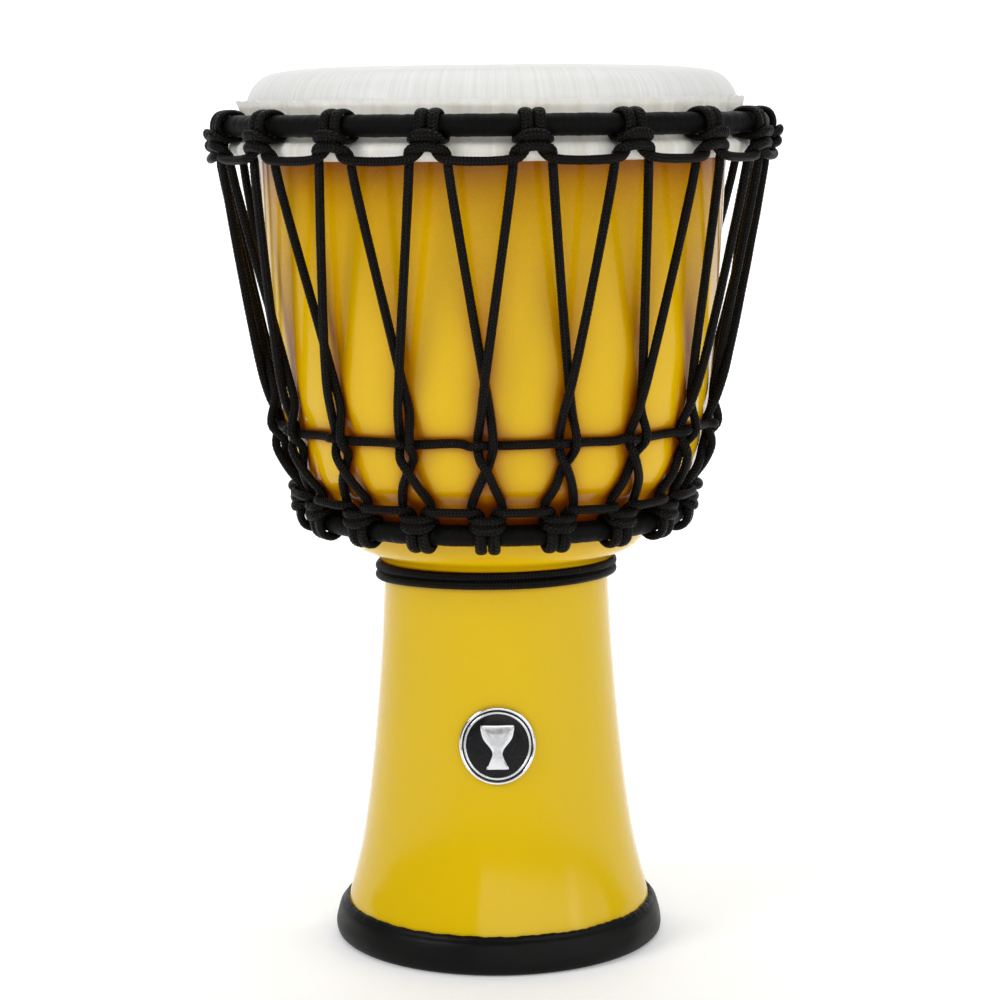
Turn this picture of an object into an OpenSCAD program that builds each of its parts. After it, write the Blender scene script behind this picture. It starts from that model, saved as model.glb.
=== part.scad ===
// Seven-inch rope-tuned djembe: a moulded goblet shell, a skin head pulled down by a flesh ring
// and a crown ring, a lower ring under the bowl, and one long rope laced between the two rings.
// Millimetres, +Z up, origin at the centre of the foot's underside. The badge faces -Y.

/* [Shell] */
// Height of the head's playing surface above the floor
drum_h = 320; // [318:0.5:324]
// Wall thickness of the moulded shell
shell_wall = 3.2; // [2.4:0.1:3.6]
// Radius of the stem where it is narrowest
waist_r = 41.4; // [40:0.2:41.6]
// Outer radius of the shell at its lower end, inside the rubber
foot_shell_r = 58.4; // [57.5:0.1:58.6]

/* [Rubber foot] */
// Height of the rubber foot ring
foot_h = 13.6; // [11:0.2:16]
// Largest outer radius of the rubber foot ring
foot_r = 61; // [60.4:0.1:63]

/* [Rings] */
// Radius of the crown ring, to the middle of its bar
crown_ring_r = 96; // [95.8:0.1:96.6]
// Height of the crown ring
crown_ring_z = 299.8; // [299:0.1:300.4]
// Radius of the lower ring, to the middle of its bar
lower_ring_r = 66.8; // [66.8:0.1:67.5]
// Height of the lower ring
lower_ring_z = 159.8; // [159.4:0.1:160]
// Radius of the steel bar in the crown ring and the lower ring
ring_core_r = 2.5; // [2:0.1:3]
// Outer radius of the fabric sleeve on those two rings
ring_cover_r = 3.7; // [3.5:0.1:3.7]
// Radius of the steel bar in the flesh ring
flesh_core_r = 2.4; // [2:0.1:2.5]

/* [Skin head] */
// Thickness of the skin
skin_t = 0.8; // [0.6:0.1:0.9]

/* [Ropes] */
// Number of rope hitches on each ring
hitches = 18; // [16:2:20]
// Angle from the badge to the nearest hitch on the crown ring
hitch_phase = 7.8; // [0:0.1:20]
// Number of flats on a rope's section
rope_sides = 5; // [5:1:8]
// Radius of the rope where it lies free
rope_r = 1.45; // [1.2:0.05:1.45]
// Height of the woven row around the bowl
weave_z = 192.8; // [191:0.1:194]
// Turns of rope wound around the waist
waist_turns = 2.2; // [1.2:0.1:2.2]

/* [Badge] */
// Diameter of the round badge
badge_d = 28; // [24:0.5:30]
// Height of the badge's centre
badge_z = 80.8; // [60:0.1:110]
// Thickness of the badge's metal plate
badge_t = 0.9; // [0.6:0.1:1.2]

/* [Hidden] */
$fn = 96;
CLEAR = 0.05;                    // gap between pieces that touch
PITCH = 360 / hitches;

// ---- shell outline -------------------------------------------------------------------------
// Outer outline from the lower end to the bearing edge, as radius and height.
LIP_TOP_Z = drum_h - skin_t - CLEAR;
OUTLINE = [
    [foot_shell_r, 3], [56.2, 13.6], [53.3, 24], [49.9, 40], [46.9, 62], [44.4, 87],
    [42.6, 110], [waist_r, 132], [waist_r, 140], [43.2, 143.6], [47.6, 145.2], [53.1, 148],
    [56.4, 153], [60.5, 159], [64.7, 165], [69.1, 170.6], [72.7, 175.6], [75.1, 184.5],
    [77, 194], [78.6, 204], [80.7, 226], [82.3, 251], [83.3, 270], [84.3, 288],
    [85.9, 301], [86.9, 306.5], [86, 311], [83.6, LIP_TOP_Z - 3.6], [80, LIP_TOP_Z - 1.4],
    [76.5, LIP_TOP_Z - 0.6]
];
// Inner side of the rolled bearing edge, back down to the plain wall.
LIP_INNER = [[72, LIP_TOP_Z - 0.4], [70.2, LIP_TOP_Z - 2], [70.6, LIP_TOP_Z - 4.4], [73.6, LIP_TOP_Z - 9]];
LIP_POINTS = 5;                  // outline points above the plain wall

// One point of the smooth curve through a, b, c and d, between b and c.
function curve_point(a, b, c, d, t) =
    0.5 * ((2 * b) + (c - a) * t + (2 * a - 5 * b + 4 * c - d) * t * t
        + (3 * b - a - 3 * c + d) * t * t * t);
// Smooth curve through a list of points, with a number of steps between each two.
function smooth(p, steps) = let (n = len(p)) concat(
    [for (i = [0 : n - 2], s = [0 : steps - 1])
        curve_point(p[max(i - 1, 0)], p[i], p[i + 1], p[min(i + 2, n - 1)], s / steps)],
    [p[n - 1]]);
// The same outline moved sideways by a distance, to the left of its direction when positive.
function beside(p, d) = let (n = len(p)) [for (i = [0 : n - 1])
    let (v = p[min(i + 1, n - 1)] - p[max(i - 1, 0)], w = v / norm(v)) p[i] + d * [-w[1], w[0]]];
function reversed(p) = [for (i = [len(p) - 1 : -1 : 0]) p[i]];
// A band of even thickness along a path.
function band(p, t) = concat(beside(p, t / 2), reversed(beside(p, -t / 2)));

WALL_OUTLINE = smooth([for (i = [0 : len(OUTLINE) - 1 - LIP_POINTS]) OUTLINE[i]], 4);
SHELL_OUTER = smooth(OUTLINE, 4);
SHELL_POLYGON = concat(SHELL_OUTER, LIP_INNER, reversed(beside(WALL_OUTLINE, shell_wall)));

// ---- skin head -----------------------------------------------------------------------------
FLESH_RING_DROP = 8.6;           // flesh ring below the crown ring
FLESH_RING_INSET = 3.6;          // flesh ring inside the crown ring
flesh_ring_r = crown_ring_r - FLESH_RING_INSET;
flesh_ring_z = crown_ring_z - FLESH_RING_DROP;
SKIN_WRAP_R = flesh_core_r + CLEAR + skin_t / 2;
SKIRT_R = 88.05;                 // middle of the skin just under the shoulder
FLAP_R = 89.2;                   // middle of the turned-up flap
FLAP_TOP_Z = 308.6;
// Middle line of the skin: crown, shoulder, skirt, round the flesh ring and up as a flap.
SKIN_MID_Z = drum_h - skin_t / 2;
SKIN_TOP = concat([[0, SKIN_MID_Z]], smooth([[46, SKIN_MID_Z], [66, SKIN_MID_Z - 0.3],
    [79.6, SKIN_MID_Z - 1.8], [84.2, SKIN_MID_Z - 4.7], [87.1, SKIN_MID_Z - 9], [SKIRT_R, SKIN_MID_Z - 14],
    [SKIRT_R, 298]], 4));
SKIN_LOOP = [for (a = [165 : 15 : 470])
    [flesh_ring_r + SKIN_WRAP_R * cos(a), flesh_ring_z + SKIN_WRAP_R * sin(a)]];
SKIN_FLAP = [[FLAP_R + 1, 296.6], [FLAP_R + 0.1, 298.6], [FLAP_R, 303], [FLAP_R + 0.5, FLAP_TOP_Z]];
SKIN_PATH = concat(SKIN_TOP, [[SKIRT_R + 0.3, 294.5]], SKIN_LOOP, SKIN_FLAP);

// ---- ropes ---------------------------------------------------------------------------------
// Each row is [along the ring, out from the ring's middle, up from the ring's middle, rope radius].
// The left half of a hitch, from the run beside it to the middle of its bar.
CROWN_HITCH = [
    [-6.8, 5.3, -10.9, rope_r], [-4.0, 4.2, -10.1, rope_r], [-2.7, 3, -6.9, 1.35],
    [-2.7, 4.1, -3.3, 1.35], [-2.7, 5.3, 0, 1.35], [-2.7, 3.8, 3.8, 1.2], [-2.7, 0, 5.0, 1],
    [-2.8, -3.7, 3.6, 1], [-3.2, -5.0, 0, 0.95], [-4.6, -3.5, -3.6, 0.9],
    [-5.9, 0.5, -4.9, 1], [-6.0, 4.6, -4.6, 1.25], [-3.6, 6.9, -3.1, 1.35]
];
CROWN_BAR = [[0, 7, -2.9, 1.35]];
LOWER_HITCH = [
    [-5.9, 7.6, 8.9, rope_r], [-3.2, 5.4, 8.9, 1.4], [-2.7, 3.4, 6.4, 1.35],
    [-2.6, 4.2, 3.2, 1.35], [-2.6, 5.3, 0, 1.35], [-2.6, 3.8, -3.9, 1.3], [-2.6, 0, -5.35, 1.2],
    [-2.7, -3.5, -3.3, 0.75], [-2.8, -4.5, -0.4, 0.6], [-3.2, -3.25, 2.6, 0.42],
    [-4.6, -0.9, 4.6, 0.7], [-5.7, 2.4, 4.7, 1], [-5.4, 5.2, 4, 1.25], [-3.2, 6.7, 3.1, 1.35]
];
LOWER_BAR = [[0, 6.8, 2.9, 1.35]];
// The left half of the lacing rope's loop through a hitch, from its foot to its middle.
CROWN_LOOP = [
    [-6.7, 2, -13, rope_r], [-6.6, 2.2, -10.8, rope_r], [-6.2, 4.2, -8, rope_r],
    [-2.9, 6.6, -6.7, rope_r]
];
CROWN_LOOP_TOP = [[0, 6.8, -6.3, rope_r]];
LOWER_LOOP = [
    [-5.3, 5.3, 11.3, rope_r], [-5.5, 4.5, 9, rope_r], [-5.2, 5.2, 6.4, 1.4], [-2.7, 6.9, 5.9, 1.4]
];
LOWER_LOOP_END = [[0, 7, 5.8, 1.4]];
// The two strands between a crown hitch and a lower hitch, as [aside, radius, height, rope radius].
STRAND_DOWN = [
    [0, 82.3, 214, rope_r], [1.7, 80.3, 203, rope_r], [2.6, 81.9, weave_z, rope_r],
    [1.6, 77.7, 187.6, rope_r], [0, 76.7, 184.3, rope_r], [-2.8, 75.6, 177.7, rope_r]
];
STRAND_UP = [
    [2.8, 76.8, 177.7, rope_r], [0, 80, 184.3, rope_r], [-1.6, 80, 187.6, rope_r],
    [-2.6, 78.3, weave_z, rope_r],
    [-1.7, 82.3, 203, rope_r], [0, 85.3, 214, rope_r]
];
// The woven row past one pair of strands.
WEAVE = [
    [-8, 78.7, weave_z, rope_r], [-5.3, 79.6, weave_z, rope_r], [-2.6, 81.5, weave_z, rope_r],
    [0, 80, weave_z, rope_r], [2.6, 78.4, weave_z, rope_r], [6, 78.5, weave_z, rope_r]
];

function mirrored(half) = [for (i = [len(half) - 1 : -1 : 0])
    [-half[i][0], half[i][1], half[i][2], half[i][3]]];
// A point at an angle round the drum from -Y towards +X, moved aside along the circle.
function around(angle, aside, r, z, rope) = let (a = angle + aside / r * 180 / PI)
    [r * sin(a), -r * cos(a), z, rope];
function at_ring(angle, ring_r, ring_z, rows) =
    [for (p = rows) around(angle, p[0], ring_r + p[1], ring_z + p[2], p[3])];
function at_shell(angle, rows) = [for (p = rows) around(angle, p[0], p[1], p[2], p[3])];
function crown_angle(i) = hitch_phase + PITCH * i;
function lower_angle(i) = crown_angle(i) + PITCH / 2;
function joined(lists) = [for (l = lists, p = l) p];

CROWN_CRADLE = joined([for (i = [0 : hitches - 1]) at_ring(crown_angle(i), crown_ring_r, crown_ring_z,
    concat(CROWN_HITCH, CROWN_BAR, mirrored(CROWN_HITCH)))]);
LOWER_CRADLE = joined([for (i = [0 : hitches - 1]) at_ring(lower_angle(i), lower_ring_r, lower_ring_z,
    concat(LOWER_HITCH, LOWER_BAR, mirrored(LOWER_HITCH)))]);
LACING = joined([for (i = [0 : hitches - 1]) concat(
    at_ring(crown_angle(i), crown_ring_r, crown_ring_z,
        concat(CROWN_LOOP, CROWN_LOOP_TOP, mirrored(CROWN_LOOP))),
    at_shell(lower_angle(i), STRAND_DOWN),
    at_ring(lower_angle(i), lower_ring_r, lower_ring_z,
        concat(LOWER_LOOP, LOWER_LOOP_END, mirrored(LOWER_LOOP))),
    at_shell(lower_angle(i), STRAND_UP))]);

// The weave starts at the lacing knot behind the drum, goes once round, and its end drops to the waist.
BACK = hitches / 2;              // number of the hitch behind the drum
KNOT_Z = 277;
KNOT_R = 97.2;
WEAVE_ROW = joined([for (i = [0 : hitches - 1]) at_shell(lower_angle(BACK + i), WEAVE)]);
WEAVE_START = at_shell(crown_angle(BACK), [[-3.7, KNOT_R - 1.6, KNOT_Z - 7.2, rope_r],
    [-2.6, 92, 252, rope_r], [-2, 86.6, 225, rope_r], [-0.5, 81.6, 201, rope_r], [1.6, 79.2, 195, rope_r]]);
WEAVE_END = at_shell(crown_angle(BACK), [[-3.4, 79, weave_z - 1, rope_r], [-1, 77.6, weave_z - 5.4, rope_r],
    [0, 75.7, 178, rope_r], [0, 73.6, 174, rope_r], [0, 71.5, 170.8, rope_r], [0, 69.1, 167.2, 1.3], [0, 69.2, 165.2, 1.3],
    [0, 71.6, 162.4, 1.35], [0, 72.1, 159, rope_r], [0, 69.8, 154.8, rope_r], [0, 64, 150.4, rope_r]]);
WEAVE_PATH = concat(WEAVE_START, WEAVE_ROW, WEAVE_END);

// The rope's tail, wound round the waist and tucked under its own turns.
WRAP_R = waist_r + rope_r + CLEAR;
WRAP_TOP_Z = 140.8;
WRAP_LIFT = 1.8;                 // how much higher the turns sit at the front
TAIL_IN = at_shell(crown_angle(BACK), [[0, 63.4, 150, rope_r], [-1, 55, 146.4, rope_r],
    [-5, 47.4, 142.8, rope_r]]);
WRAP_STEP = 10;
function wrap_z(a, angle) = WRAP_TOP_Z - 2.05 * rope_r * a / 360 + WRAP_LIFT * max(0, cos(angle));
WRAP = [for (a = [0 : WRAP_STEP : 360 * waist_turns]) let (angle = crown_angle(BACK) - 14 - a)
    around(angle, 0, WRAP_R + (a < WRAP_STEP / 2 ? 0.4 : 0), wrap_z(a, angle), rope_r)];
TAIL = concat(TAIL_IN, WRAP);

// An overhand knot in a line of rope, as points [along, aside, out, rope radius]: an open trefoil.
KNOT_SIZE = 1.4;
KNOT_DEPTH = 2.4;
KNOT_ROPE_R = 1;
KNOT = concat([[-12, -2.4, 1.6, KNOT_ROPE_R], [-7, -3.7, 1.5, KNOT_ROPE_R], [-2.6, -4.2, 1.4, KNOT_ROPE_R]],
    [for (t = [196 : 16 : 524]) [KNOT_SIZE * (sin(t) + 2 * sin(2 * t)),
        KNOT_SIZE * (cos(t) - 2 * cos(2 * t)), -KNOT_DEPTH * sin(3 * t), KNOT_ROPE_R]],
    [[2.6, -4.2, -1.4, KNOT_ROPE_R], [7, -3.7, -1.5, KNOT_ROPE_R]]);
// The knot hanging at an angle round the drum.
function knot_at(angle, r, z) = [for (p = KNOT) around(angle, p[1], r + p[2], z - p[0], p[3])];

// ---- rope solid ----------------------------------------------------------------------------
function place(p) = [p[0], p[1], p[2]];
function unit(v) = v / norm(v);
function square_to(v, t) = unit(v - (v * t) * t);
// Directions along a route; a closed route wraps round.
function directions(p, closed) = let (n = len(p)) [for (i = [0 : n - 1]) closed
    ? unit(place(p[(i + 1) % n]) - place(p[(i + n - 1) % n]))
    : unit(place(p[min(i + 1, n - 1)]) - place(p[max(i - 1, 0)]))];
// A side direction carried along the route without twisting.
function carried(t, start) = [for (i = 0, v = square_to(start, t[0]); i < len(t);
    i = i + 1, v = i < len(t) ? square_to(v, t[i]) : v) v];

module rope(p, closed = false) {
    n = len(p);
    t = directions(p, closed);
    v = carried(t, [0.3, 0.4, 0.87]);
    points = [for (i = [0 : n - 1], k = [0 : rope_sides - 1])
        let (a = 360 * k / rope_sides, w = cross(t[i], v[i]))
        place(p[i]) + p[i][3] * (cos(a) * v[i] + sin(a) * w)];
    // The last ring meets the first turned by the nearest whole number of flats.
    last = square_to(v[n - 1], t[0]);
    turn = atan2(last * cross(t[0], v[0]), last * v[0]);
    shift = closed ? (round(turn / 360 * rope_sides) + rope_sides) % rope_sides : 0;
    sides = [for (i = [0 : closed ? n - 1 : n - 2], k = [0 : rope_sides - 1])
        let (k2 = (k + 1) % rope_sides, s = i == n - 1 ? shift : 0, j = (i + 1) % n)
        [[i * rope_sides + k, j * rope_sides + (k + s) % rope_sides,
            j * rope_sides + (k2 + s) % rope_sides],
         [i * rope_sides + k, j * rope_sides + (k2 + s) % rope_sides, i * rope_sides + k2]]];
    ends = closed ? [] : [[for (k = [0 : rope_sides - 1]) k],
        [for (k = [rope_sides - 1 : -1 : 0]) (n - 1) * rope_sides + k]];
    polyhedron(points = points, faces = concat([for (f = sides, g = f) g], ends), convexity = 10);
}

module ring(ring_r, ring_z, outer_r, hole_r = 0) {
    rotate_extrude() translate([ring_r, ring_z]) difference() {
        circle(r = outer_r, $fn = 32);
        if (hole_r > 0) circle(r = hole_r, $fn = 32);
    }
}

// ---- sub-parts -----------------------------------------------------------------------------
module shell() { color([0.86, 0.68, 0.05]) rotate_extrude() polygon(SHELL_POLYGON); }

module foot_ring() {
    outside = smooth([[56.2 + CLEAR, foot_h], [57.6, foot_h - 0.6], [foot_r - 1.9, foot_h - 2.6],
        [foot_r - 0.4, foot_h - 6.6], [foot_r, 4.2], [foot_r - 0.6, 1.4], [foot_r - 2.4, 0]], 3);
    inside = [[53.6, 0], [52.4, 1], [51, 10.4], [52.2, 11.4]];
    color([0.07, 0.07, 0.07]) rotate_extrude() difference() {
        polygon(concat(outside, inside));
        polygon(concat(beside(SHELL_OUTER, -CLEAR), reversed(beside(WALL_OUTLINE, shell_wall + CLEAR)),
            [[foot_shell_r - shell_wall - CLEAR, 3 - CLEAR], [foot_shell_r + CLEAR, 3 - CLEAR]]));
    }
}

module head_skin() { color([0.9, 0.88, 0.83]) rotate_extrude() polygon(band(SKIN_PATH, skin_t)); }

module flesh_ring() { color([0.6, 0.6, 0.62]) ring(flesh_ring_r, flesh_ring_z, flesh_core_r); }

module crown_ring() { color([0.6, 0.6, 0.62]) ring(crown_ring_r, crown_ring_z, ring_core_r); }

module crown_ring_sleeve() {
    color([0.1, 0.1, 0.1]) ring(crown_ring_r, crown_ring_z, ring_cover_r, ring_core_r + CLEAR);
}

module lower_ring() { color([0.6, 0.6, 0.62]) ring(lower_ring_r, lower_ring_z, ring_core_r); }

module lower_ring_sleeve() {
    color([0.1, 0.1, 0.1]) ring(lower_ring_r, lower_ring_z, ring_cover_r, ring_core_r + CLEAR);
}

module crown_cradle_rope() { color([0.12, 0.11, 0.1]) rope(CROWN_CRADLE, true); }

module lower_cradle_rope() { color([0.12, 0.11, 0.1]) rope(LOWER_CRADLE, true); }

module lacing_rope() { color([0.14, 0.12, 0.11]) rope(LACING, true); }

module lacing_knot() { color([0.14, 0.12, 0.11]) rope(knot_at(crown_angle(BACK), KNOT_R, KNOT_Z)); }

module weave_rope() { color([0.14, 0.12, 0.11]) rope(WEAVE_PATH); }

module waist_wrap() { color([0.14, 0.12, 0.11]) rope(TAIL); }

// One layer of the badge: a ring or disc cut from a thin sleeve on the stem.
module badge_layer(outer_d, inner_d, inner_t, outer_t) {
    sleeve = [for (p = SHELL_OUTER) if (abs(p[1] - badge_z) < 26) p];
    intersection() {
        rotate_extrude() polygon(concat(beside(sleeve, -outer_t), reversed(beside(sleeve, -inner_t))));
        translate([0, -30, badge_z]) rotate([90, 0, 0]) difference() {
            cylinder(d = outer_d, h = 30);
            if (inner_d > 0) translate([0, 0, -1]) cylinder(d = inner_d, h = 32);
        }
    }
}
PAD_T = 0.4;                     // thickness of the adhesive pad
PLATE_OUT = PAD_T + badge_t;     // outer face of the plate above the shell
RIM_OUT = PLATE_OUT + 0.45;
INLAY_OUT = PLATE_OUT + 0.2;

module badge_pad() { color([0.2, 0.2, 0.2]) badge_layer(badge_d - 1.6, 0, CLEAR, PAD_T); }

module badge_plate() { color([0.78, 0.78, 0.8]) badge_layer(badge_d, 0, PAD_T + CLEAR, PLATE_OUT); }

module badge_rim() { color([0.85, 0.85, 0.87]) badge_layer(badge_d, badge_d * 0.9, PLATE_OUT, RIM_OUT); }

module badge_line() {
    color([0.05, 0.05, 0.05]) badge_layer(badge_d * 0.9 - 0.1, badge_d * 0.87, PLATE_OUT + CLEAR, INLAY_OUT);
}

module badge_inlay() {
    color([0.05, 0.05, 0.05]) badge_layer(badge_d * 0.815, 0, PLATE_OUT + CLEAR, INLAY_OUT);
}

// A plain goblet drum outline: bowl, stem and foot.
module badge_emblem() {
    s = badge_d / 23;
    goblet = [[-4.6, 6], [4.6, 6], [4.2, 1.8], [1.9, -1.2], [1.5, -3.4], [3.1, -6.2], [-3.1, -6.2],
        [-1.5, -3.4], [-1.9, -1.2], [-4.2, 1.8]];
    sleeve = [for (p = SHELL_OUTER) if (abs(p[1] - badge_z) < 26) p];
    color([0.82, 0.82, 0.84]) intersection() {
        rotate_extrude() polygon(concat(beside(sleeve, -INLAY_OUT - 0.3),
            reversed(beside(sleeve, -INLAY_OUT - CLEAR))));
        translate([0, -30, badge_z]) rotate([90, 0, 0]) linear_extrude(30) polygon(s * goblet);
    }
}

shell();
foot_ring();
head_skin();
flesh_ring();
crown_ring();
crown_ring_sleeve();
lower_ring();
lower_ring_sleeve();
crown_cradle_rope();
lower_cradle_rope();
lacing_rope();
lacing_knot();
weave_rope();
waist_wrap();
badge_pad();
badge_plate();
badge_rim();
badge_line();
badge_inlay();
badge_emblem();
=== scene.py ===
"""Looks of a seven-inch rope-tuned djembe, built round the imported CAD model.

Lengths are millimetres, turned into metres where a mesh is made. The drum stands on Z = 0, its axis is Z,
and its badge faces -Y. Angles round the drum are degrees from -Y towards +X.
"""
import math

import bmesh
import bpy
import numpy as np
from mathutils import Matrix, Vector


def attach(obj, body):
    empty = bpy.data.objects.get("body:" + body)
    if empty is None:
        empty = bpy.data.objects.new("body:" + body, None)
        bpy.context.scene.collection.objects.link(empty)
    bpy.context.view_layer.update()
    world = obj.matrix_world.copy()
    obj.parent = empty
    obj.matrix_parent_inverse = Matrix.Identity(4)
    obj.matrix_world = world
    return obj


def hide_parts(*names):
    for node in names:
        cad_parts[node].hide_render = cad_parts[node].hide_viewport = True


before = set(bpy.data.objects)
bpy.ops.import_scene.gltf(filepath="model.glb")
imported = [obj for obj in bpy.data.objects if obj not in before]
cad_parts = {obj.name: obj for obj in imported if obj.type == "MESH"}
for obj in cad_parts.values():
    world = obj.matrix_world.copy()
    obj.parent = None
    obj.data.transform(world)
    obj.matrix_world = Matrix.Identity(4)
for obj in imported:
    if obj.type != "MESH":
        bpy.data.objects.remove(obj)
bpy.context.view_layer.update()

MM = 0.001
RNG = np.random.default_rng(11)

# ---- driving dimensions, the same as the CAD model's ---------------------------------------
DRUM_H = 320.0
SHELL_WALL = 3.2
WAIST_R = 41.4
FOOT_SHELL_R = 58.4
FOOT_H = 13.6
FOOT_R = 61.0                               # the rubber at its widest
CROWN_R, CROWN_Z = 96.0, 299.8
LOWER_R, LOWER_Z = 66.8, 159.8
SLEEVE_R = 3.7
FLESH_R, FLESH_Z = CROWN_R - 3.6, CROWN_Z - 8.6
SKIN_T = 0.8
FLESH_CORE_R = 2.45                         # the flesh ring with the gap round it
HITCHES = 18
PITCH = 360 / HITCHES
HITCH_PHASE = 7.8
ROPE_R = 1.5
WEAVE_Z = 192.8
BADGE_R = 14
BADGE_Z = 80.8
BACK = HITCHES // 2                         # the hitch behind the drum


# ---- curves and meshes ---------------------------------------------------------------------
def smooth(points, steps=8):
    """Catmull-Rom curve through rows of numbers, with some steps between each two."""
    p = np.asarray(points, float)
    ends = np.vstack([p[:1], p, p[-1:]])
    t = np.linspace(0, 1, steps, endpoint=False)[:, None]
    out = []
    for a, b, c, d in zip(ends, ends[1:], ends[2:], ends[3:]):
        out.append(0.5 * (2 * b + (c - a) * t + (2 * a - 5 * b + 4 * c - d) * t ** 2
                          + (3 * b - a - 3 * c + d) * t ** 3))
    return np.vstack(out + [p[-1:]])


def smooth_loop(points, steps=8):
    """The same through a closed list."""
    p = np.asarray(points, float)
    ends = np.vstack([p[-1:], p, p[:2]])
    t = np.linspace(0, 1, steps, endpoint=False)[:, None]
    return np.vstack([0.5 * (2 * b + (c - a) * t + (2 * a - 5 * b + 4 * c - d) * t ** 2
                             + (3 * b - a - 3 * c + d) * t ** 3)
                      for a, b, c, d in zip(ends, ends[1:], ends[2:], ends[3:])])


def rope_curve(points, closed, steps=6):
    """A smooth curve through points set unevenly apart, without overshoot at the close ones."""
    p = np.asarray(points, float)
    p = np.vstack([p[-1:], p, p[:2]]) if closed else np.vstack([p[:1], p, p[-1:]])
    gap = np.sqrt(np.maximum(np.linalg.norm(np.diff(p[:, :3], axis=0), axis=1), 1e-4))
    t = np.linspace(0, 1, steps, endpoint=False)[:, None]
    out = []
    for k in range(len(p) - 3):
        a, b, c, d = p[k:k + 4]
        before, here, after = gap[k:k + 3]
        m = c - b + here * ((b - a) / before - (c - a) / (before + here))
        n = c - b + here * ((d - c) / after - (d - b) / (here + after))
        out.append((2 * t ** 3 - 3 * t ** 2 + 1) * b + (t ** 3 - 2 * t ** 2 + t) * m
                   + (3 * t ** 2 - 2 * t ** 3) * c + (t ** 3 - t ** 2) * n)
    return np.vstack(out if closed else out + [p[-1:]])


def resampled(rows, step, closed=False, dims=3):
    """Rows spaced evenly along the length of their first columns, and that length."""
    p = np.vstack([rows, rows[:1]]) if closed else rows
    length = np.concatenate([[0], np.cumsum(np.linalg.norm(np.diff(p[:, :dims], axis=0), axis=1))])
    count = max(int(round(length[-1] / step / 2)) * 2, 4)
    at = np.linspace(0, length[-1], count + 1)
    if closed:
        at = at[:-1]
    return np.stack([np.interp(at, length, p[:, k]) for k in range(p.shape[1])], 1), length[-1]


def unit(v):
    return v / np.maximum(np.linalg.norm(v, axis=-1, keepdims=True), 1e-9)


def wavy(angle_deg, terms, seed):
    """Smooth noise round the drum: terms are (waves per turn, size)."""
    rng = np.random.default_rng(seed)
    a = np.radians(angle_deg)
    total = np.zeros_like(a)
    for waves, size in terms:
        for shift in (0, 1, 3):
            total = total + size * 0.6 * np.sin((waves + shift) * a + rng.uniform(0, 2 * math.pi))
    return total


def add_object(name, verts, faces, material, uv=None, plait=None):
    """A smooth-shaded mesh object from points in millimetres, with a UV pair for each face corner."""
    mesh = bpy.data.meshes.new(name)
    mesh.from_pydata((np.asarray(verts, float) * MM).tolist(), [], faces)
    if uv is not None:
        corners = np.zeros((len(mesh.loops), 2), np.float32)
        corners[:len(uv)] = uv
        mesh.uv_layers.new(name="along").data.foreach_set("uv", corners.ravel())
    if plait is not None:
        raised = mesh.attributes.new("plait", "FLOAT", "POINT")
        raised.data.foreach_set("value", plait.astype(np.float32))
    mesh.polygons.foreach_set("use_smooth", [True] * len(mesh.polygons))
    mesh.materials.append(material)
    work = bmesh.new()
    work.from_mesh(mesh)
    bmesh.ops.recalc_face_normals(work, faces=work.faces)
    work.to_mesh(mesh)
    work.free()
    piece = bpy.data.objects.new(name, mesh)
    bpy.context.collection.objects.link(piece)
    return piece


def grid_faces(rows, columns, close_rows=False, caps=False):
    """Quads over a grid whose columns close round; caps fill its first and last rows."""
    i = np.arange(rows if close_rows else rows - 1)[:, None]
    k = np.arange(columns)[None, :]
    j, m = (i + 1) % rows, (k + 1) % columns
    quads = np.stack([i * columns + k, i * columns + m, j * columns + m, j * columns + k], -1)
    faces = quads.reshape(-1, 4).tolist()
    if caps:
        faces.append(list(range(columns))[::-1])
        faces.append([(rows - 1) * columns + k for k in range(columns)])
    return faces


def grid_uv(across, along):
    """UV pairs for the quads' corners, from the values at every column line and row line."""
    u, v = np.meshgrid(across, along)
    grid = np.stack([u, v], -1)
    corners = np.stack([grid[:-1, :-1], grid[:-1, 1:], grid[1:, 1:], grid[1:, :-1]], 2)
    return corners.reshape(-1, 2)


def around(angle, aside, r, z):
    """A point at an angle round the drum, moved aside along its circle."""
    a = np.radians(angle) + aside / r
    return np.array([r * math.sin(a), -r * math.cos(a), z])


def revolved(name, profile, columns, material, shape=None):
    """A turned mesh from a closed profile. shape(angle, radius, height) may move its points."""
    profile = np.asarray(profile, float)
    rows = len(profile)
    angle = np.arange(columns) * 360 / columns
    r = np.repeat(profile[:, :1], columns, 1)
    z = np.repeat(profile[:, 1:2], columns, 1)
    if shape is not None:
        r, z = shape(angle, r, z)
    a = np.radians(angle)
    verts = np.stack([r * np.sin(a), -r * np.cos(a), z], -1)
    loop = np.vstack([profile, profile[:1]])
    along = np.concatenate([[0], np.cumsum(np.linalg.norm(np.diff(loop, axis=0), axis=1))]) * MM
    uv = grid_uv(np.arange(columns + 1) / columns, along)
    return add_object(name, verts.reshape(-1, 3), grid_faces(rows, columns, True), material, uv)


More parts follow.
